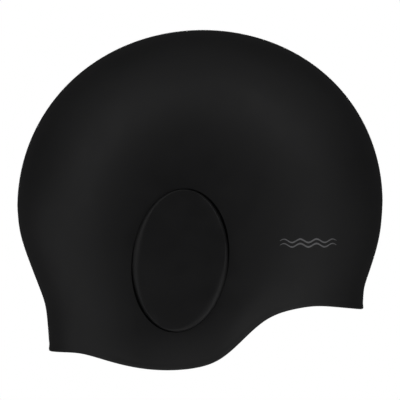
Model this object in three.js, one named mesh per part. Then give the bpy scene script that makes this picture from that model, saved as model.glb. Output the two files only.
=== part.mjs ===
// A swim cap moulded in one piece of silicone, with a hollow oval pocket over each ear.
// Millimetres. +X points to the forehead, +Y to the wearer's left and +Z up. The origin is on
// the inside of the crown, where the top of the head bears.

import * as THREE from 'three';
import { mergeVertices } from 'three/addons/utils/BufferGeometryUtils.js';

const WALL = 1.2; // thickness of the silicone

// The dome, from the girth, where the cap is widest, up to the crown
const HALF_LENGTH = 109.9; // from the middle to the forehead or the nape
const HALF_WIDTH = 80; // from the middle to the side
const RISE = 105; // from the girth to the crown
const GIRTH = WALL - RISE;
const TILT = 1.6; // rise of the girth at the forehead, and its drop at the nape
const LONG_SWELL = 0.028; // extra length near the crown, as a share
const WIDE_SWELL = 0.2; // extra width near the crown
const BACK_SWELL = 0.09; // extra width at the nape, taken from the forehead
const END_SWELL = 0.14; // extra width at both ends, which squares the plan

// Below the girth the wall draws in. Each line is made of straight runs joined by soft bends:
// a bend adds its turn to the slope around its place, over about its softness.
const NAPE_BENDS = [
  { at: 15, turn: 0.42, soft: 13 },
  { at: 58.6, turn: -0.35, soft: 6 },
];
const FOREHEAD_BENDS = [
  { at: 21, turn: 0.385, soft: 16 },
  { at: 51.4, turn: -0.32, soft: 3 },
];
const SIDE_BENDS = [{ at: 18, turn: 0.1, soft: 24 }];

// The hem in side view, from the nape forward: level, down round the ear flap, up and level again
const HEM_AT_MIDDLE = -199.1;
const HEM_BENDS = [
  { at: -70, turn: -0.45, soft: 8 },
  { at: -32.9, turn: 0.62, soft: 36 },
  { at: 12.4, turn: 1.2, soft: 13 },
  { at: 38.2, turn: -1.22, soft: 13 },
  { at: 68.1, turn: -0.28, soft: 8 },
];
// Towards the hem the sides turn in, over the first of these heights and then more sharply over
// the second, each by a share of the width
const HEM_CURL = 0.035;
const CURL_REACH = 13;
const LIP_CURL = 0.035;
const LIP_REACH = 3;
const BEAD_HEIGHT = 4; // the wall thickens towards the hem over this height
const BEAD_RADIUS = 1; // of the rounded edge, half the bead's thickness

// The pocket over the ear, an oval in side view that leans forward
const EAR = new THREE.Vector2(-11.5, -136.4); // its middle, as X and Z
const OVAL_HALF_HEIGHT = 41.9;
const OVAL_HALF_LENGTH = 28;
const OVAL_LEAN = THREE.MathUtils.degToRad(6.2);
const POCKET_RAISE = 2.2; // its flat face stands this far off the skin in the middle
const POCKET_ACROSS = 2.4; // and this much more at its front and back, where the skin draws back
const POCKET_SLANT = 0.6; // and this much more at the bottom, and less at the top
const BOTTOM_TURN = THREE.MathUtils.degToRad(250); // where round the oval the pocket's bottom is
const SHOULDER_NARROW = 0.9; // width of the pocket's rounded edge at the top and the bottom
const SHOULDER_WIDE = 5; // and low down on both sides
const SHOULDER_POWER = 2.5; // 2 is round, and more is squarer
const GROOVE_FAINT = 0.25; // depth of the groove round the pocket where it is faintest
const GROOVE_DEEP = 2.2;
const DEEP_TURN = THREE.MathUtils.degToRad(45); // where it is deepest, and also on the far side
const OUTER_FLANK = 3.5; // steepness of the groove's sides
const INNER_FLANK = 1.1;
const FOOT_SHARE = 0.3; // the pocket's wall starts this share of the groove's depth in from it
const SKIN_START = 1.6; // the skin goes on undisturbed from this far out

// Facets
const OUTLINE_COLUMNS = 32; // from the forehead over the crown to the nape
const HEM_COLUMNS = 26; // from the nape along one side's hem to the forehead
const FACE_SHARES = [0.4, 0.75]; // rings on the pocket's face, as shares of its oval
const SHOULDER_SHARES = [1, 0.6, 0.3, 0.12, 0.03]; // rings on its rounded edge, in from its foot
const RIDGE_SHARES = [0.6, 0, -0.8]; // rings inside, under the groove, as shares of the wall
const BALL_STEPS = 12; // on each side, for the thickness of the wall under the groove
const SPREAD_RINGS = 11; // from the pocket to the half's border
const SPREAD_POWER = 1.25; // over 1, the rings lie closer near the pocket
const DIRECTION_SHARE = 0.85; // how far the columns keep to the direction of their ends
const BEAD_STEPS = [4, 2.4, 1, 0.3]; // heights of the bead's rings above the hem's lowest line
const PATTERN_SCALE = 165; // millimetres of wall for each unit of the flat pattern, below the girth

function follow(bends, at) {
  const ramp = (bend, value) => (value - bend.at + Math.hypot(value - bend.at, bend.soft)) / 2;
  return bends.reduce((sum, bend) => sum + bend.turn * (ramp(bend, at) - ramp(bend, 0)), 0);
}

// How the plan of the cap lies at a depth below the girth: its middle, half length and half width
function planAt(depth) {
  const nape = follow(NAPE_BENDS, depth);
  const forehead = follow(FOREHEAD_BENDS, depth);
  return {
    middle: (nape - forehead) / 2,
    halfLength: HALF_LENGTH - (nape + forehead) / 2,
    halfWidth: HALF_WIDTH - follow(SIDE_BENDS, depth),
  };
}

// The outside of the left half, without the pocket. Its flat pattern is a half disc of radius 1
// on top of a strip: p runs from the nape, -1, to the forehead, 1, and q is 0 at the girth.
// The half disc's rim is the cap's middle line, and its centre is the side of the girth.
function skin(p, q) {
  const radius = Math.hypot(p, q);
  const dome = q > 0 && radius > 0;
  const angle = ((dome ? radius : p) * Math.PI) / 2;
  const forward = Math.sin(angle) * (dome ? p / radius : 1);
  const up = dome ? (Math.sin(angle) * q) / radius : 0;
  const depth = dome ? 0 : -q * PATTERN_SCALE;
  const plan = planAt(depth);
  const x = plan.middle + plan.halfLength * forward * (1 + LONG_SWELL * up ** 2);
  const z = GIRTH + TILT * forward + RISE * up - depth;
  const above = z - HEM_AT_MIDDLE - follow(HEM_BENDS, x);
  const swell = (1 - BACK_SWELL * forward) * (1 + END_SWELL * forward ** 2) * (1 + WIDE_SWELL * up ** 2);
  const curl = HEM_CURL * Math.exp(-((above / CURL_REACH) ** 2)) + LIP_CURL * Math.exp(-above / LIP_REACH);
  return new THREE.Vector3(x, plan.halfWidth * Math.cos(angle) * swell * (1 - curl), z);
}

// The place on the flat pattern of a point given in side view, found by a few rounds of guessing
function patternPlace(x, z) {
  let forward = x / HALF_LENGTH;
  let up = 0;
  let depth = 0;
  for (let round = 0; round < 12; round += 1) {
    const level = z - GIRTH - TILT * forward;
    up = Math.max(level, 0) / RISE;
    depth = Math.max(-level, 0);
    const plan = planAt(depth);
    forward = (x - plan.middle) / (plan.halfLength * (1 + LONG_SWELL * up ** 2));
  }
  if (up === 0) return [(Math.asin(forward) * 2) / Math.PI, -depth / PATTERN_SCALE];
  const sine = Math.hypot(forward, up);
  const radius = (Math.asin(sine) * 2) / Math.PI;
  return [(forward / sine) * radius, (up / sine) * radius];
}

// The place on the pattern's column p at a height above the hem, measured square to the hem
function hemPlace(p, above) {
  const forward = Math.sin((p * Math.PI) / 2);
  let depth = 0;
  for (let round = 0; round < 12; round += 1) {
    const { x } = skin(p, -depth / PATTERN_SCALE);
    const slope = (follow(HEM_BENDS, x + 1) - follow(HEM_BENDS, x - 1)) / 2;
    const height = HEM_AT_MIDDLE + follow(HEM_BENDS, x) + above * Math.hypot(1, slope);
    depth = GIRTH + TILT * forward - height;
  }
  return [p, -depth / PATTERN_SCALE];
}

function grooveDepth(turn) {
  return GROOVE_FAINT + (GROOVE_DEEP - GROOVE_FAINT) * Math.cos(turn - DEEP_TURN) ** 4;
}

// The rounded edge is widest just over 70 degrees to each side of the bottom, where the square of
// the sine of the turn times one more than its cosine reaches 32/27
function shoulderWidth(turn) {
  const off = turn - BOTTOM_TURN;
  const share = (Math.sin(off) ** 2 * (1 + Math.cos(off)) * 27) / 32;
  return THREE.MathUtils.lerp(SHOULDER_NARROW, SHOULDER_WIDE, share);
}

// How far the pocket stands off the skin, at a distance in from its oval: a rounded edge as high
// as the face, less a groove with straight sides
function raiseAt(turn, inside) {
  const depth = grooveDepth(turn);
  const left = 1 - THREE.MathUtils.clamp((inside - depth * FOOT_SHARE) / shoulderWidth(turn), 0, 1);
  const slant = POCKET_SLANT * Math.cos(turn - BOTTOM_TURN);
  const face = POCKET_RAISE + slant + POCKET_ACROSS * Math.cos(turn) ** 2;
  const groove = Math.max(depth - (inside < 0 ? -OUTER_FLANK : INNER_FLANK) * inside, 0);
  return face * (1 - left ** SHOULDER_POWER) ** (1 / SHOULDER_POWER) - groove;
}

// The same for the inside of the wall: the lowest place of a ball as thick as the wall that
// rolls along the outside
function underAt(turn, inside) {
  let lowest = Infinity;
  for (let step = -BALL_STEPS; step <= BALL_STEPS; step += 1) {
    const aside = (WALL * step) / BALL_STEPS;
    const under = raiseAt(turn, inside + aside) - Math.sqrt(WALL ** 2 - aside ** 2);
    lowest = Math.min(lowest, under);
  }
  return lowest + WALL;
}

// Where the rings of the pocket's edge lie at a turn, in from the oval
function outsideRings(turn) {
  const depth = grooveDepth(turn);
  const width = shoulderWidth(turn);
  const shoulder = SHOULDER_SHARES.map((share) => depth * FOOT_SHARE + width * share);
  const groove = [depth / INNER_FLANK, 0, -depth / OUTER_FLANK, -SKIN_START];
  return [...shoulder, ...groove].sort((a, b) => b - a);
}

function insideRings(turn) {
  const foot = grooveDepth(turn) * FOOT_SHARE + WALL;
  const width = shoulderWidth(turn);
  const shoulder = SHOULDER_SHARES.map((share) => foot + width * share);
  return [...shoulder, ...RIDGE_SHARES.map((share) => WALL * share), -SKIN_START];
}

// The side view of a point on the pocket's oval, shrunk by a distance and then by a share
function ovalPoint(turn, inside, share) {
  const across = (OVAL_HALF_LENGTH - inside) * Math.cos(turn) * share;
  const along = (OVAL_HALF_HEIGHT - inside) * Math.sin(turn) * share;
  return [
    EAR.x + across * Math.cos(OVAL_LEAN) + along * Math.sin(OVAL_LEAN),
    EAR.y + along * Math.cos(OVAL_LEAN) - across * Math.sin(OVAL_LEAN),
  ];
}

// A point of the skin, moved square to it: out of the cap, or into its wall if the move is negative
function layerPoint([p, q], move) {
  const point = skin(p, q);
  if (move === 0) return point;
  const step = 1e-4;
  const alongP = skin(p + step, q).sub(skin(p - step, q));
  const alongQ = skin(p, q + step).sub(skin(p, q - step));
  return point.addScaledVector(alongQ.cross(alongP).normalize(), move);
}

// The half's border on the pattern, at a share of its outline: up the forehead, over the crown
// and down the nape. The hem's bead starts where it ends.
function outlinePlace(share) {
  const forehead = hemPlace(1, BEAD_HEIGHT)[1];
  const nape = hemPlace(-1, BEAD_HEIGHT)[1];
  const quarter = (Math.PI * RISE) / 2;
  const lengths = [-forehead * PATTERN_SCALE, 2 * quarter, -nape * PATTERN_SCALE];
  const run = share * (lengths[0] + lengths[1] + lengths[2]);
  if (run < lengths[0]) return [1, forehead * (1 - run / lengths[0])];
  const turn = ((run - lengths[0]) / lengths[1]) * Math.PI;
  if (turn <= Math.PI) return [Math.cos(turn), Math.sin(turn)];
  return [-1, (nape * (run - lengths[0] - lengths[1])) / lengths[2]];
}

// Each column of facets starts on the pocket's oval, at a turn, and ends on the half's border.
// The turn is the border point's direction, moved a little towards an even share of the round.
// With more of the even share, columns would cross the hem where it bulges up behind the forehead.
function makeColumns() {
  const count = OUTLINE_COLUMNS + HEM_COLUMNS;
  const middle = patternPlace(EAR.x, EAR.y);
  const columns = [];
  let lastTurn = -Math.PI / 2;
  for (let index = 0; index < count; index += 1) {
    const alongHem = index - OUTLINE_COLUMNS;
    const end = alongHem > 0
      ? hemPlace(-1 + (2 * alongHem) / HEM_COLUMNS, BEAD_HEIGHT)
      : outlinePlace(index / OUTLINE_COLUMNS);
    let direction = Math.atan2(end[1] - middle[1], end[0] - middle[0]);
    while (direction < lastTurn) direction += 2 * Math.PI;
    lastTurn = direction;
    columns.push({ end, direction });
  }
  const first = columns[0].direction;
  columns.forEach((column, index) => {
    const even = first + (2 * Math.PI * index) / count;
    column.turn = THREE.MathUtils.lerp(even, column.direction, DIRECTION_SHARE);
  });
  return columns;
}

// One face of the half's wall, as a ring of points for each step out from the pocket's middle.
// A move of 0 gives the outside, and of -WALL the inside.
function wallRings(columns, move, heightAt, ringsAt) {
  const pocketPoint = (turn, inside, share, raise) => {
    const point = layerPoint(patternPlace(...ovalPoint(turn, inside, share)), move);
    point.y += raise;
    return point;
  };
  const insides = columns.map(({ turn }) => ringsAt(turn));
  const rings = [[pocketPoint(0, insides[0][0], 0, POCKET_RAISE)]];
  for (const share of FACE_SHARES) {
    rings.push(columns.map(({ turn }, index) => {
      const inside = insides[index][0];
      const across = POCKET_ACROSS * Math.cos(turn) ** 2;
      const slant = heightAt(turn, inside) - across - POCKET_RAISE;
      return pocketPoint(turn, inside, share, POCKET_RAISE + slant * share + across * share ** 2);
    }));
  }
  for (let ring = 0; ring < insides[0].length; ring += 1) {
    rings.push(columns.map(({ turn }, index) => {
      const inside = insides[index][ring];
      return pocketPoint(turn, inside, 1, heightAt(turn, inside));
    }));
  }
  for (let step = 1; step <= SPREAD_RINGS; step += 1) {
    const share = (step / SPREAD_RINGS) ** SPREAD_POWER;
    rings.push(columns.map(({ turn, end }) => {
      const start = patternPlace(...ovalPoint(turn, -SKIN_START, 1));
      const p = THREE.MathUtils.lerp(start[0], end[0], share);
      const q = THREE.MathUtils.lerp(start[1], end[1], share);
      return layerPoint([p, q], move);
    }));
  }
  return rings;
}

// The hem's bead, as rows of points that go down its outside, round its edge and up its inside
function beadRows() {
  const section = BEAD_STEPS.map((above) => {
    const round = Math.sqrt(BEAD_RADIUS ** 2 - Math.max(BEAD_RADIUS - above, 0) ** 2);
    const fade = THREE.MathUtils.smoothstep(above, BEAD_RADIUS, BEAD_HEIGHT);
    return { above, half: THREE.MathUtils.lerp(round, WALL / 2, fade) };
  });
  const outside = section.map(({ above, half }) => ({ above, move: half - WALL / 2 }));
  const inside = section.map(({ above, half }) => ({ above, move: -half - WALL / 2 })).reverse();
  const path = [...outside, { above: 0, move: -WALL / 2 }, ...inside];
  return path.map(({ above, move }) => Array.from({ length: HEM_COLUMNS + 1 }, (_, index) => (
    layerPoint(hemPlace(-1 + (2 * index) / HEM_COLUMNS, above), move)
  )));
}

// Gathers triangles, each with its mirror image in the other half
class Facets {
  constructor() {
    this.corners = [];
  }

  triangle(a, b, c) {
    for (const { x, y, z } of [a, b, c]) this.corners.push(x, y, z);
    for (const { x, y, z } of [a, c, b]) this.corners.push(x, -y, z);
  }

  // Two neighbouring rows of points, as a strip of paired triangles. One side of it faces out.
  strip(near, far, closed, flipped) {
    const count = closed ? far.length : far.length - 1;
    for (let index = 0; index < count; index += 1) {
      const next = (index + 1) % far.length;
      const [a, b] = flipped ? [next, index] : [index, next];
      if (near.length > 1) this.triangle(near[a], far[b], near[b]);
      this.triangle(near.length > 1 ? near[a] : near[0], far[a], far[b]);
    }
  }
}

function capShell() {
  const columns = makeColumns();
  const outer = wallRings(columns, 0, raiseAt, outsideRings);
  const inner = wallRings(columns, -WALL, underAt, insideRings);
  const bead = beadRows();
  const facets = new Facets();
  for (let ring = 1; ring < outer.length; ring += 1) {
    facets.strip(outer[ring - 1], outer[ring], true, true);
  }
  for (let ring = 1; ring < inner.length; ring += 1) {
    facets.strip(inner[ring - 1], inner[ring], true, false);
  }
  for (let row = 1; row < bead.length; row += 1) {
    facets.strip(bead[row - 1], bead[row], false, true);
  }
  const loose = new THREE.BufferGeometry();
  loose.setAttribute('position', new THREE.Float32BufferAttribute(facets.corners, 3));
  const geometry = mergeVertices(loose, 1e-3);
  geometry.computeVertexNormals();
  const silicone = new THREE.MeshStandardMaterial({ color: 0x18181a, roughness: 0.55, metalness: 0 });
  const mesh = new THREE.Mesh(geometry, silicone);
  mesh.name = 'cap_shell';
  return mesh;
}

const swimCap = new THREE.Group();
swimCap.name = 'swim_cap';
swimCap.add(capShell());

export default swimCap;
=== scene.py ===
import math

import bmesh
import bpy
import numpy as np
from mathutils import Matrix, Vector


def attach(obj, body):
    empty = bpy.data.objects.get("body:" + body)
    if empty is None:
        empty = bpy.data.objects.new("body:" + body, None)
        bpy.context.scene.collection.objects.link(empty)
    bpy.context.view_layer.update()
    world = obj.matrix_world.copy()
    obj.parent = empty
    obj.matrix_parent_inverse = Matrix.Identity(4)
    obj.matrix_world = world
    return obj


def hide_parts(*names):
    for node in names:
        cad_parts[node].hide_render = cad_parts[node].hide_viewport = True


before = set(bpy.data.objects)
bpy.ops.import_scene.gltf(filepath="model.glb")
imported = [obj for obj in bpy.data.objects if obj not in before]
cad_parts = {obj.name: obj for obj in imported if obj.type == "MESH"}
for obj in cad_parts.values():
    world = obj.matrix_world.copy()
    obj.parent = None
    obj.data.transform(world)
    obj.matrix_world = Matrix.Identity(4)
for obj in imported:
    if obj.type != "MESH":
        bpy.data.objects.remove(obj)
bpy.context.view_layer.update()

# The camera stands level with the middle of the cap and square to its right side. It is far
# off with a long lens, so the near ear flap is hardly larger than the far one.
CAMERA_DISTANCE = 2.4
PICTURE_WIDTH = 0.2408  # metres across the picture, in the plane through the cap's middle
CAMERA_HEIGHT = -0.1011
SENSOR_WIDTH = 36.0

camera = bpy.data.objects.new("camera", bpy.data.cameras.new("camera"))
camera.data.sensor_width = SENSOR_WIDTH
camera.data.lens = SENSOR_WIDTH * CAMERA_DISTANCE / PICTURE_WIDTH
camera.location = (0, -CAMERA_DISTANCE, CAMERA_HEIGHT)
camera.rotation_euler = (math.radians(90), 0, 0)
bpy.context.collection.objects.link(camera)
bpy.context.scene.camera = camera

# The cap is one moulding of liquid silicone rubber: a dome, a band that draws in below it, an
# ear flap and a raised hollow pocket on each side, and a bead round the hem. It is injected
# between a core and two half shells, so the pockets stand straight out to the sides.
MM = 0.001  # the shape is worked out in millimetres
WALL = 1.2
HALF_LENGTH = 109.9
HALF_WIDTH = 80.0
RISE = 105.0  # from the girth, the widest level, to the crown
GIRTH = WALL - RISE
TILT = 1.6  # rise of the girth at the forehead, and its drop at the nape
LONG_SWELL = 0.028  # extra length near the crown, as a share
WIDE_SWELL = 0.2  # extra width near the crown
BACK_SWELL = 0.09  # extra width at the nape, taken from the forehead
END_SWELL = 0.14  # extra width at both ends, which squares the plan
PATTERN_SCALE = 165.0  # millimetres of wall for each unit of the flat pattern, below the girth

# Bends of the lines below: where each is, how much it turns the line and how softly
NAPE_BENDS = ((15.0, 0.42, 13.0), (58.6, -0.35, 6.0))
FOREHEAD_BENDS = ((21.0, 0.385, 16.0), (51.4, -0.32, 3.0))
SIDE_BENDS = ((18.0, 0.10, 24.0),)
HEM_BENDS = (
    (-70.0, -0.45, 8.0),
    (-32.9, 0.62, 36.0),
    (12.4, 1.2, 13.0),
    (38.2, -1.22, 13.0),
    (68.1, -0.28, 8.0),
)
HEM_AT_MIDDLE = -199.1
HEM_CURL = 0.035  # how much narrower the cap gets at the hem, as a share
CURL_REACH = 13.0  # height over which it does
LIP_CURL = 0.035  # the hem's last few millimetres turn in by this share more
LIP_REACH = 3.0
BEAD_HEIGHT = 4.0
BEAD_RADIUS = 1.0

EAR_X, EAR_Z = -11.5, -136.4  # the middle of the pocket's oval, in side view
OVAL_HALF_HEIGHT = 41.9
OVAL_HALF_LENGTH = 28.0
OVAL_LEAN = math.radians(6.2)
POCKET_RAISE = 2.2  # its flat face stands this far off the skin in the middle
POCKET_ACROSS = 2.4  # and this much more at its front and back edge, where the skin draws back
POCKET_SLANT = 0.6  # and this much more at the bottom, and less at the top
BOTTOM_TURN = math.radians(250)  # where round the oval the pocket's bottom is
SHOULDER_NARROW = 0.9  # width of the pocket's rounded edge at the top and the bottom
SHOULDER_WIDE = 5.0  # and low down on both sides
SHOULDER_POWER = 2.5  # 2 is round, and more is squarer
GROOVE_FAINT = 0.25  # depth of the groove round the pocket where it is faintest
GROOVE_DEEP = 2.2
DEEP_TURN = math.radians(45)  # where round the oval it is deepest, and also on the far side
OUTER_FLANK = 3.5  # steepness of the groove's sides
INNER_FLANK = 1.1
FOOT_SHARE = 0.3  # the pocket's wall starts this share of the groove's depth in from it
SKIN_START = 1.6  # the skin goes on undisturbed this far out from the groove

OUTLINE_COLUMNS = 214
HEM_COLUMNS = 126
FACE_RINGS = 8
SHOULDER_RINGS = 22
GROOVE_RINGS = 6
SPREAD_RINGS = 42
SKIN_RINGS = 3
INNER_EVERY = 2  # the inside takes every second ring of the outside's
INNER_FOOT_RINGS = 9
GROOVE_PAST_INNER = 1.15  # the groove's rings go on past its sides, to this share of their width
GROOVE_PAST_OUTER = 1.4
BALL_STEPS = 16
BEAD_ROUND_STEPS = 5
BEAD_FADE_STEPS = 4
DIRECTION_SHARE = 0.85  # how far the columns keep to the direction of their ends
SPREAD_POWER = 1.25  # over 1, the rings lie closer near the pocket
GUESS_ROUNDS = 12  # for the places that are found by repeated guesses
PATTERN_STEP = 1e-4  # half the step that gives the skin's slope
TINY = 1e-9  # stands for a distance of 0 where something is divided by it
DOUBLE = 1e-7  # points closer than this, in metres, are one


def follow(bends, at):
    """A line of straight runs joined by soft bends: each bend adds its turn times half the sum of
    the way past it and the hypotenuse of that way and its softness. The line is 0 at 0."""
    def ramp(place, soft, value):
        return (value - place + np.hypot(value - place, soft)) / 2

    return sum(turn * (ramp(place, soft, at) - ramp(place, soft, 0.0)) for place, turn, soft in bends)


def plan_at(depth):
    """The plan at a depth below the girth: its middle is half the nape's inset less half the
    forehead's, its half length loses half of both, and its half width loses the side's."""
    nape, forehead = follow(NAPE_BENDS, depth), follow(FOREHEAD_BENDS, depth)
    return (nape - forehead) / 2, HALF_LENGTH - (nape + forehead) / 2, HALF_WIDTH - follow(SIDE_BENDS, depth)


def skin(p, q):
    """The outside of the left half at a place on its flat pattern, a half disc on top of a strip.
    On the disc the distance from its centre is the angle away from the side, so the point goes
    round an ellipsoid. On the strip p is the angle round the plan and q the depth."""
    radius = np.maximum(np.hypot(p, q), TINY)
    dome = q > 0
    angle = np.where(dome, radius, p) * math.pi / 2
    forward = np.sin(angle) * np.where(dome, p / radius, 1.0)
    up = np.where(dome, np.sin(angle) * q / radius, 0.0)
    depth = np.where(dome, 0.0, -q * PATTERN_SCALE)
    middle, half_length, half_width = plan_at(depth)
    x = middle + half_length * forward * (1 + LONG_SWELL * up**2)
    z = GIRTH + TILT * forward + RISE * up - depth
    above_hem = z - HEM_AT_MIDDLE - follow(HEM_BENDS, x)
    swell = (1 - BACK_SWELL * forward) * (1 + END_SWELL * forward**2) * (1 + WIDE_SWELL * up**2)
    curl = 1 - HEM_CURL * np.exp(-((above_hem / CURL_REACH) ** 2)) - LIP_CURL * np.exp(-above_hem / LIP_REACH)
    return np.stack([x, half_width * np.cos(angle) * swell * curl, z], axis=-1)


def pattern_place(x, z):
    """The pattern place of a point given in side view: guess how far forward it is, take the
    level above the girth and the plan there, work out how far forward again, and repeat."""
    forward = x / HALF_LENGTH
    for _ in range(GUESS_ROUNDS):
        level = z - GIRTH - TILT * forward
        up, depth = np.maximum(level, 0) / RISE, np.maximum(-level, 0)
        middle, half_length, _ = plan_at(depth)
        forward = (x - middle) / (half_length * (1 + LONG_SWELL * up**2))
    sine = np.maximum(np.hypot(forward, up), TINY)
    stretch = np.where(up > 0, np.arcsin(np.minimum(sine, 1)) * 2 / math.pi / sine, 1.0)
    p = np.where(up > 0, forward * stretch, np.arcsin(np.clip(forward, -1, 1)) * 2 / math.pi)
    q = np.where(up > 0, up * stretch, -depth / PATTERN_SCALE)
    return p, q


def layer(p, q, move):
    """The skin moved square to itself: the normal is the cross product of short steps along q
    and along p."""
    along_p = skin(p + PATTERN_STEP, q) - skin(p - PATTERN_STEP, q)
    along_q = skin(p, q + PATTERN_STEP) - skin(p, q - PATTERN_STEP)
    normal = np.cross(along_q, along_p)
    normal /= np.linalg.norm(normal, axis=-1, keepdims=True)
    return skin(p, q) + normal * np.asarray(move)[..., None]


def hem_place(p, above):
    """The pattern place on column p at a height above the hem, measured square to the hem: guess
    the depth, take the hem's height at the x found there, and repeat."""
    forward = np.sin(p * math.pi / 2)
    depth = np.zeros_like(p)
    for _ in range(GUESS_ROUNDS):
        x = skin(p, -depth / PATTERN_SCALE)[..., 0]
        slope = (follow(HEM_BENDS, x + 1) - follow(HEM_BENDS, x - 1)) / 2
        height = HEM_AT_MIDDLE + follow(HEM_BENDS, x) + above * np.hypot(1, slope)
        depth = GIRTH + TILT * forward - height
    return p, -depth / PATTERN_SCALE


def oval(turn, inside, share):
    """The pocket's oval in side view: an ellipse whose half axes are shortened by a distance and
    then multiplied by a share, leaned forward about its middle."""
    across = (OVAL_HALF_LENGTH - inside) * np.cos(turn) * share
    along = (OVAL_HALF_HEIGHT - inside) * np.sin(turn) * share
    return (
        EAR_X + across * math.cos(OVAL_LEAN) + along * math.sin(OVAL_LEAN),
        EAR_Z + along * math.cos(OVAL_LEAN) - across * math.sin(OVAL_LEAN),
    )


def outline_place(share):
    """The border of the half's pattern at a share of its length: up the forehead from the bead's
    top, round the half disc and down the nape."""
    forehead, nape = (float(hem_place(np.array(side), BEAD_HEIGHT)[1]) for side in (1.0, -1.0))
    ends = np.cumsum([0, -forehead * PATTERN_SCALE, math.pi * RISE, -nape * PATTERN_SCALE])
    run = share * ends[-1]
    turn = np.clip((run - ends[1]) / (ends[2] - ends[1]), 0, 1) * math.pi
    q = np.select(
        [run < ends[1], run <= ends[2]],
        [forehead * (1 - run / ends[1]), np.sin(turn)],
        nape * (run - ends[2]) / (ends[3] - ends[2]),
    )
    return np.where(run < ends[1], 1.0, np.where(run <= ends[2], np.cos(turn), -1.0)), q


def ease(low, high, value):
    """Goes from 0 at the low value to 1 at the high one, level at both ends."""
    share = np.clip((value - low) / (high - low), 0, 1)
    return share**2 * (3 - 2 * share)


def groove_depth(turn):
    """The depth of the groove round the pocket, deepest on two opposite sides."""
    return GROOVE_FAINT + (GROOVE_DEEP - GROOVE_FAINT) * np.cos(turn - DEEP_TURN) ** 4


def shoulder_width(turn):
    """The width of the pocket's rounded edge: the square of the sine of the turn, times one more
    than its cosine. That is widest, at 32/27, just over 70 degrees to each side of the bottom."""
    off = turn - BOTTOM_TURN
    share = np.sin(off) ** 2 * (1 + np.cos(off)) * 27 / 32
    return SHOULDER_NARROW + (SHOULDER_WIDE - SHOULDER_NARROW) * share


def raise_at(turn, inside):
    """How far the pocket stands off the skin, at a distance in from its oval: a quarter of a
    squared ellipse as wide as the shoulder and as high as the edge of the face, less a groove
    with straight flanks."""
    depth = groove_depth(turn)
    left = 1 - np.clip((inside - depth * FOOT_SHARE) / shoulder_width(turn), 0, 1)
    face = POCKET_RAISE + POCKET_SLANT * np.cos(turn - BOTTOM_TURN) + POCKET_ACROSS * np.cos(turn) ** 2
    groove = np.maximum(depth - np.where(inside < 0, -OUTER_FLANK, INNER_FLANK) * inside, 0)
    return face * (1 - left**SHOULDER_POWER) ** (1 / SHOULDER_POWER) - groove


def under_at(turn, inside):
    """The same for the inside of the wall: the lowest place of a ball as thick as the wall that
    rolls along the outside."""
    step = np.linspace(-WALL, WALL, 2 * BALL_STEPS + 1)[:, None]
    return (raise_at(turn, inside + step) - np.sqrt(WALL**2 - step**2)).min(axis=0) + WALL


def wall_rings(columns, move, height_at, shares, insides, spreads):
    """One face of the half's wall, as rings from the pocket's middle out. Off the skin, the face
    of the pocket rises to the height of its edge, and what makes it flat across goes with the
    square of the share. From the foot of its rounded edge straight lines on the pattern run to
    the border."""
    turn, end_p, end_q = columns

    def pocket(inside, share, raised):
        points = layer(*pattern_place(*oval(turn, inside, share)), np.full_like(turn, move))
        points[:, 1] += raised
        return points

    across = POCKET_ACROSS * np.cos(turn) ** 2
    slant = height_at(turn, insides[0]) - across - POCKET_RAISE
    rings = [pocket(insides[0], s, POCKET_RAISE + slant * s + across * s**2) for s in shares]
    rings += [pocket(inside, 1.0, height_at(turn, inside)) for inside in insides]
    start_p, start_q = pattern_place(*oval(turn, insides[-1], 1.0))
    for share in spreads:
        p, q = start_p + (end_p - start_p) * share, start_q + (end_q - start_q) * share
        rings.append(layer(p, q, np.full_like(p, move)))
    return np.stack(rings)


def strip_faces(rows, columns, wraps, first):
    """Quads between neighbouring rows of a grid of points that is numbered row by row."""
    row = np.arange(rows - 1)[:, None] * columns
    column = np.arange(columns if wraps else columns - 1)
    after = (column + 1) % columns
    corners = [row + column, row + after, row + columns + after, row + columns + column]
    return first + np.stack(corners, axis=-1).reshape(-1, 4)


def make_mesh(name, points, faces):
    """A mesh from arrays, in metres, with its doubled points merged and its faces smooth."""
    mesh = bpy.data.meshes.new(name)
    mesh.from_pydata((points * MM).tolist(), [], faces)
    joined = bmesh.new()
    joined.from_mesh(mesh)
    bmesh.ops.remove_doubles(joined, verts=joined.verts, dist=DOUBLE)
    joined.to_mesh(mesh)
    joined.free()
    mesh.polygons.foreach_set("use_smooth", np.ones(len(mesh.polygons), bool))
    made = bpy.data.objects.new(name, mesh)
    bpy.context.collection.objects.link(made)
    return made


# The grid's columns run from the pocket's oval out to the border of the half's pattern. Each
# ends at a place on the border, and starts in about the direction in which that lies.
hem_p = np.linspace(-1, 1, HEM_COLUMNS + 1)
outline_p, outline_q = outline_place(np.arange(OUTLINE_COLUMNS + 1) / OUTLINE_COLUMNS)
along_hem_p, along_hem_q = hem_place(hem_p[1:-1], BEAD_HEIGHT)
end_p, end_q = np.append(outline_p, along_hem_p), np.append(outline_q, along_hem_q)
ear_p, ear_q = pattern_place(np.array(EAR_X), np.array(EAR_Z))
direction = np.unwrap(np.arctan2(end_q - ear_q, end_p - ear_p))
even_turn = direction[0] + 2 * math.pi * np.arange(len(end_p)) / len(end_p)
columns = (even_turn + (direction - even_turn) * DIRECTION_SHARE, end_p, end_q)

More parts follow.
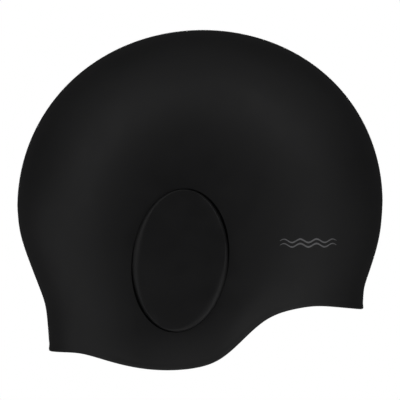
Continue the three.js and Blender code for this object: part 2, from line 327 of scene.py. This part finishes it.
# Its rings lie close where the surface turns: round the pocket's edge and in the groove. The
# inside has fewer, and they start a wall's thickness further in.
face_shares = np.linspace(0, 1, FACE_RINGS + 1)[1:-1]
turn = columns[0]
depth, shoulder = groove_depth(turn), shoulder_width(turn)
shoulder_turn = np.linspace(0, math.pi / 2, SHOULDER_RINGS + 1)
shoulder_share = 1 - np.sin(shoulder_turn) ** (2 / SHOULDER_POWER)
insides = np.sort(np.concatenate([
    depth * FOOT_SHARE + shoulder * shoulder_share[:, None],
    depth / INNER_FLANK * np.linspace(0, GROOVE_PAST_INNER, GROOVE_RINGS)[1:, None],
    -depth / OUTER_FLANK * np.linspace(0, GROOVE_PAST_OUTER, GROOVE_RINGS)[:, None],
    -SKIN_START * np.linspace(0.5, 1, SKIN_RINGS)[:, None] * np.ones_like(turn),
]), axis=0)[::-1]
spreads = np.linspace(0, 1, SPREAD_RINGS + 1) ** SPREAD_POWER
outer = wall_rings(columns, 0.0, raise_at, face_shares, insides, spreads[1:])
inner_insides = np.concatenate([
    depth * FOOT_SHARE + shoulder * shoulder_share[::INNER_EVERY, None] + WALL,
    WALL - (SKIN_START + WALL) * np.linspace(0, 1, INNER_FOOT_RINGS + 1)[1:, None] * np.ones_like(turn),
])
inner_spreads = spreads[INNER_EVERY::INNER_EVERY]
inner = wall_rings(columns, -WALL, under_at, face_shares[::INNER_EVERY], inner_insides, inner_spreads)

# The bead's section: the wall's half thickness grows from the wall's to the bead's radius, and
# then follows a half circle round the edge
fade_above = np.linspace(BEAD_HEIGHT, BEAD_RADIUS, BEAD_FADE_STEPS + 1)[:-1]
fade_half = BEAD_RADIUS + (WALL / 2 - BEAD_RADIUS) * ease(BEAD_RADIUS, BEAD_HEIGHT, fade_above)
round_turn = np.linspace(0, math.pi, 2 * BEAD_ROUND_STEPS + 1)
above = np.concatenate([fade_above, BEAD_RADIUS * (1 - np.sin(round_turn)), fade_above[::-1]])
half = np.concatenate([fade_half, BEAD_RADIUS * np.cos(round_turn), -fade_half[::-1]])
bead = np.stack([
    layer(*hem_place(hem_p, height), np.full_like(hem_p, out - WALL / 2))
    for height, out in zip(above, half)
])

# Each face of the wall is closed by a fan in the middle of the pocket, and the bead joins the
# two. The other half is the mirror image.
count = len(end_p)
half_points, half_faces, first = [], [], 0
for rings, turned in ((outer, False), (inner, True)):
    face_middle = rings[0].mean(axis=0)
    half_points += [rings.reshape(-1, 3), face_middle[None]]
    quads = strip_faces(len(rings), count, True, first)
    middle_at = first + len(rings) * count
    around = first + np.arange(count)
    fan = np.stack([around, np.full(count, middle_at), np.roll(around, -1)], axis=-1)
    half_faces += [quads[:, ::-1], fan[:, ::-1]] if turned else [quads, fan]
    first = middle_at + 1
half_points.append(bead.reshape(-1, 3))
half_faces.append(strip_faces(len(bead), HEM_COLUMNS + 1, False, first))
half_points = np.concatenate(half_points)
mirrored = half_points * np.array([1, -1, 1])
cap_faces = []
for faces in half_faces:
    cap_faces += faces.tolist() + (faces[:, ::-1] + len(half_points)).tolist()
cap = make_mesh("cap_shell_skin", np.concatenate([half_points, mirrored]), cap_faces)


def linear(code):
    """An sRGB hex colour as linear red, green, blue and alpha."""
    channels = [int(code[i:i + 2], 16) / 255 for i in (1, 3, 5)]
    return [c / 12.92 if c <= 0.04045 else ((c + 0.055) / 1.055) ** 2.4 for c in channels] + [1.0]


def add(tree, kind, inputs=None, **settings):
    """Adds a shader node with its settings. An input given as a socket is linked, any other is set."""
    made = tree.nodes.new(kind)
    for name, value in settings.items():
        setattr(made, name, value)
    for name, value in (inputs or {}).items():
        if isinstance(value, bpy.types.NodeSocket):
            tree.links.new(value, made.inputs[name])
        else:
            made.inputs[name].default_value = value
    return made


# Black liquid silicone rubber from a finely blasted mould: matt, with soft wide highlights. Its
# film of handling and talc makes the gloss a little uneven, and the blasted grain is about
# 0.2 mm, drawn at 0.5 mm so that it shows.
SILICONE_IOR = 1.41
SMOOTHEST, ROUGHEST = 0.46, 0.55
GRAIN = 0.5
GRAIN_DEPTH = 0.05
FILM_PATCH = 14.0

silicone = bpy.data.materials.new("matt_black_silicone")
silicone.use_nodes = True
tree = silicone.node_tree
tree.nodes.clear()
place = add(tree, "ShaderNodeTexCoord").outputs["Object"]
film = add(tree, "ShaderNodeTexNoise", {
    "Vector": place, "Scale": 1 / (FILM_PATCH * MM), "Detail": 5.0, "Roughness": 0.6,
})
grain = add(tree, "ShaderNodeTexNoise", {
    "Vector": place, "Scale": 1 / (GRAIN * MM), "Detail": 2.0, "Roughness": 0.5,
})
uneven = add(tree, "ShaderNodeMapRange", {
    "Value": film.outputs["Fac"], "From Min": 0.3, "From Max": 0.7,
    "To Min": SMOOTHEST, "To Max": ROUGHEST,
})
tint = add(tree, "ShaderNodeMix", {
    "Factor": film.outputs["Fac"], "A": linear("#141415"), "B": linear("#19191A"),
}, data_type="RGBA")
bump = add(tree, "ShaderNodeBump", {
    "Height": grain.outputs["Fac"], "Strength": 0.12, "Distance": GRAIN_DEPTH * MM,
})
surface = add(tree, "ShaderNodeBsdfPrincipled", {
    "Base Color": tint.outputs["Result"], "Roughness": uneven.outputs["Result"],
    "IOR": SILICONE_IOR, "Normal": bump.outputs["Normal"],
})
add(tree, "ShaderNodeOutputMaterial", {"Surface": surface.outputs["BSDF"]})
cap.data.materials.append(silicone)
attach(cap, "root")
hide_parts("cap_shell")

# Two short wavy lines are printed on the right side in grey silicone ink. They are put on with a
# soft pad after moulding and baked, so they bond with the rubber and stretch with it.
WAVES_FROM, WAVES_TO = 46.6, 80.5
WAVES_LEVEL = -126.3
WAVE_COUNT = 3.5
WAVE_SWING = 1.0  # how far a line swings up and down
LINE_GAP = 2.6  # from line to line
LINE_WIDTH = 1.1
INK_HEIGHT = 0.04
INK_ROOT = -0.1  # its underside lies this far in the rubber
INK_TOP_SHARE = 0.92  # a line's top is this share of its width
TIP_SHARE = 0.001  # least value of the sine that narrows its ends
TIP_POWER = 0.4
LINE_STEPS = 140


def printed_line(level):
    """A line's points: rings of four corners, across and off the skin, carried along a sine wave
    in side view. Its width goes to nearly nothing at both ends, with a power of a sine."""
    share = np.linspace(0, 1, LINE_STEPS + 1)[:, None]
    width = LINE_WIDTH * np.maximum(np.sin(share * math.pi), TIP_SHARE) ** TIP_POWER
    swing = WAVE_SWING * np.sin(share * WAVE_COUNT * 2 * math.pi)
    across = np.array([-1, 1, INK_TOP_SHARE, -INK_TOP_SHARE]) / 2 * width
    x = WAVES_FROM + (WAVES_TO - WAVES_FROM) * share + 0 * across
    move = np.array([INK_ROOT, INK_ROOT, INK_HEIGHT, INK_HEIGHT]) + 0 * across
    return layer(*pattern_place(x, level + swing + across), move) * np.array([1, -1, 1])


line_faces = strip_faces(LINE_STEPS + 1, 4, True, 0).tolist()
line_faces += [[3, 2, 1, 0], [4 * LINE_STEPS + corner for corner in range(4)]]
lines = [printed_line(WAVES_LEVEL + side * LINE_GAP / 2).reshape(-1, 3) for side in (-1, 1)]
waves = make_mesh(
    "printed_waves",
    np.concatenate(lines),
    line_faces + [[corner + len(lines[0]) for corner in face] for face in line_faces],
)

ink = bpy.data.materials.new("grey_silicone_ink")
ink.use_nodes = True
tree = ink.node_tree
tree.nodes.clear()
place = add(tree, "ShaderNodeTexCoord").outputs["Object"]
cover = add(tree, "ShaderNodeTexNoise", {
    "Vector": place, "Scale": 1 / (GRAIN * MM), "Detail": 3.0, "Roughness": 0.6,
})
shade = add(tree, "ShaderNodeMix", {
    "Factor": cover.outputs["Fac"], "A": linear("#6E6E70"), "B": linear("#8A8A8C"),
}, data_type="RGBA")
bump = add(tree, "ShaderNodeBump", {
    "Height": cover.outputs["Fac"], "Strength": 0.15, "Distance": GRAIN_DEPTH * MM,
})
surface = add(tree, "ShaderNodeBsdfPrincipled", {
    "Base Color": shade.outputs["Result"], "Roughness": 0.55,
    "IOR": SILICONE_IOR, "Normal": bump.outputs["Normal"],
})
add(tree, "ShaderNodeOutputMaterial", {"Surface": surface.outputs["BSDF"]})
waves.data.materials.append(ink)
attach(waves, "root")

# The floor is a wide pale studio floor. The cap is held up as on a head, so it lies far below.
FLOOR_HEIGHT = -1.5
FLOOR_RADIUS = 16.0
FLOOR_SIDES = 96
FLOOR_GLOW = 0.96  # keeps it as white as the room in every view

turns = np.linspace(0, 2 * math.pi, FLOOR_SIDES + 1)[:-1]
rim = np.stack([np.cos(turns), np.sin(turns), np.zeros_like(turns)], axis=-1) * FLOOR_RADIUS
rim[:, 2] = FLOOR_HEIGHT
floor = make_mesh("floor", rim / MM, [list(range(FLOOR_SIDES))])
floor.visible_glossy = False
floor.visible_diffuse = False
floor.visible_shadow = False

paint = bpy.data.materials.new("pale_floor")
paint.use_nodes = True
tree = paint.node_tree
tree.nodes.clear()
lit = add(tree, "ShaderNodeBsdfPrincipled", {
    "Base Color": linear("#F4F4F3"), "Roughness": 0.9, "Specular IOR Level": 0.0,
    "Emission Color": linear("#FFFFFF"), "Emission Strength": FLOOR_GLOW,
})
add(tree, "ShaderNodeOutputMaterial", {"Surface": lit.outputs["BSDF"]})
floor.data.materials.append(paint)

# The room is white to the camera and dim to the cap, whose shading comes from the soft boxes
ROOM_WHITE = 1.0
ROOM_FILL = 0.044

world = bpy.data.worlds.new("studio")
bpy.context.scene.world = world
world.use_nodes = True
tree = world.node_tree
tree.nodes.clear()
seen = add(tree, "ShaderNodeBackground", {"Color": linear("#FFFFFF"), "Strength": ROOM_WHITE})
fill = add(tree, "ShaderNodeBackground", {"Color": linear("#FFFFFF"), "Strength": ROOM_FILL})
looked_at = add(tree, "ShaderNodeLightPath")
mixed = add(tree, "ShaderNodeMixShader", {
    0: looked_at.outputs["Is Camera Ray"], 1: fill.outputs[0], 2: seen.outputs[0],
})
add(tree, "ShaderNodeOutputWorld", {"Surface": mixed.outputs[0]})

# Round soft boxes stand about the camera's line of sight: an arch over the near side, a ring
# that grazes the outline, some from below for the hem and one straight behind for the far side.
# A row has degrees off that line, turns about it from the forehead side, metres across and watts.
LIGHT_DISTANCE = 1.2
SOFT_BOXES = {
    "arch": (54, (-30, 30, 60, 120, 150, 180), 0.7, 0.8),
    "arch_dim": (54, (0, 90), 0.7, 0.4),
    "ring": (85, (-20, 45, 90, 135), 1.2, 0.64),
    "ring_nape": (85, (200,), 1.2, 1.3),
    "hem": (75, (235, 270, 310), 0.7, 1.0),
    "hem_front": (40, (270,), 0.7, 0.8),
    "hem_back": (135, (270,), 0.7, 1.5),
    "behind": (180, (90,), 0.6, 7.0),
}
for name, (off_axis, turns, diameter, watts) in SOFT_BOXES.items():
    for turn in turns:
        light = bpy.data.lights.new(name, "AREA")
        light.shape = "DISK"
        light.size = diameter
        light.energy = watts
        tilt, around = math.radians(off_axis), math.radians(turn)
        flat = math.sin(tilt)
        away = Vector((flat * math.cos(around), -math.cos(tilt), flat * math.sin(around)))
        box = bpy.data.objects.new(f"{name}_{turn}", light)
        box.location = away * LIGHT_DISTANCE + Vector((0, 0, CAMERA_HEIGHT))
        box.rotation_euler = away.to_track_quat("Z", "Y").to_euler()
        box.visible_camera = False
        bpy.context.collection.objects.link(box)

bpy.context.scene.view_settings.view_transform = "Standard"
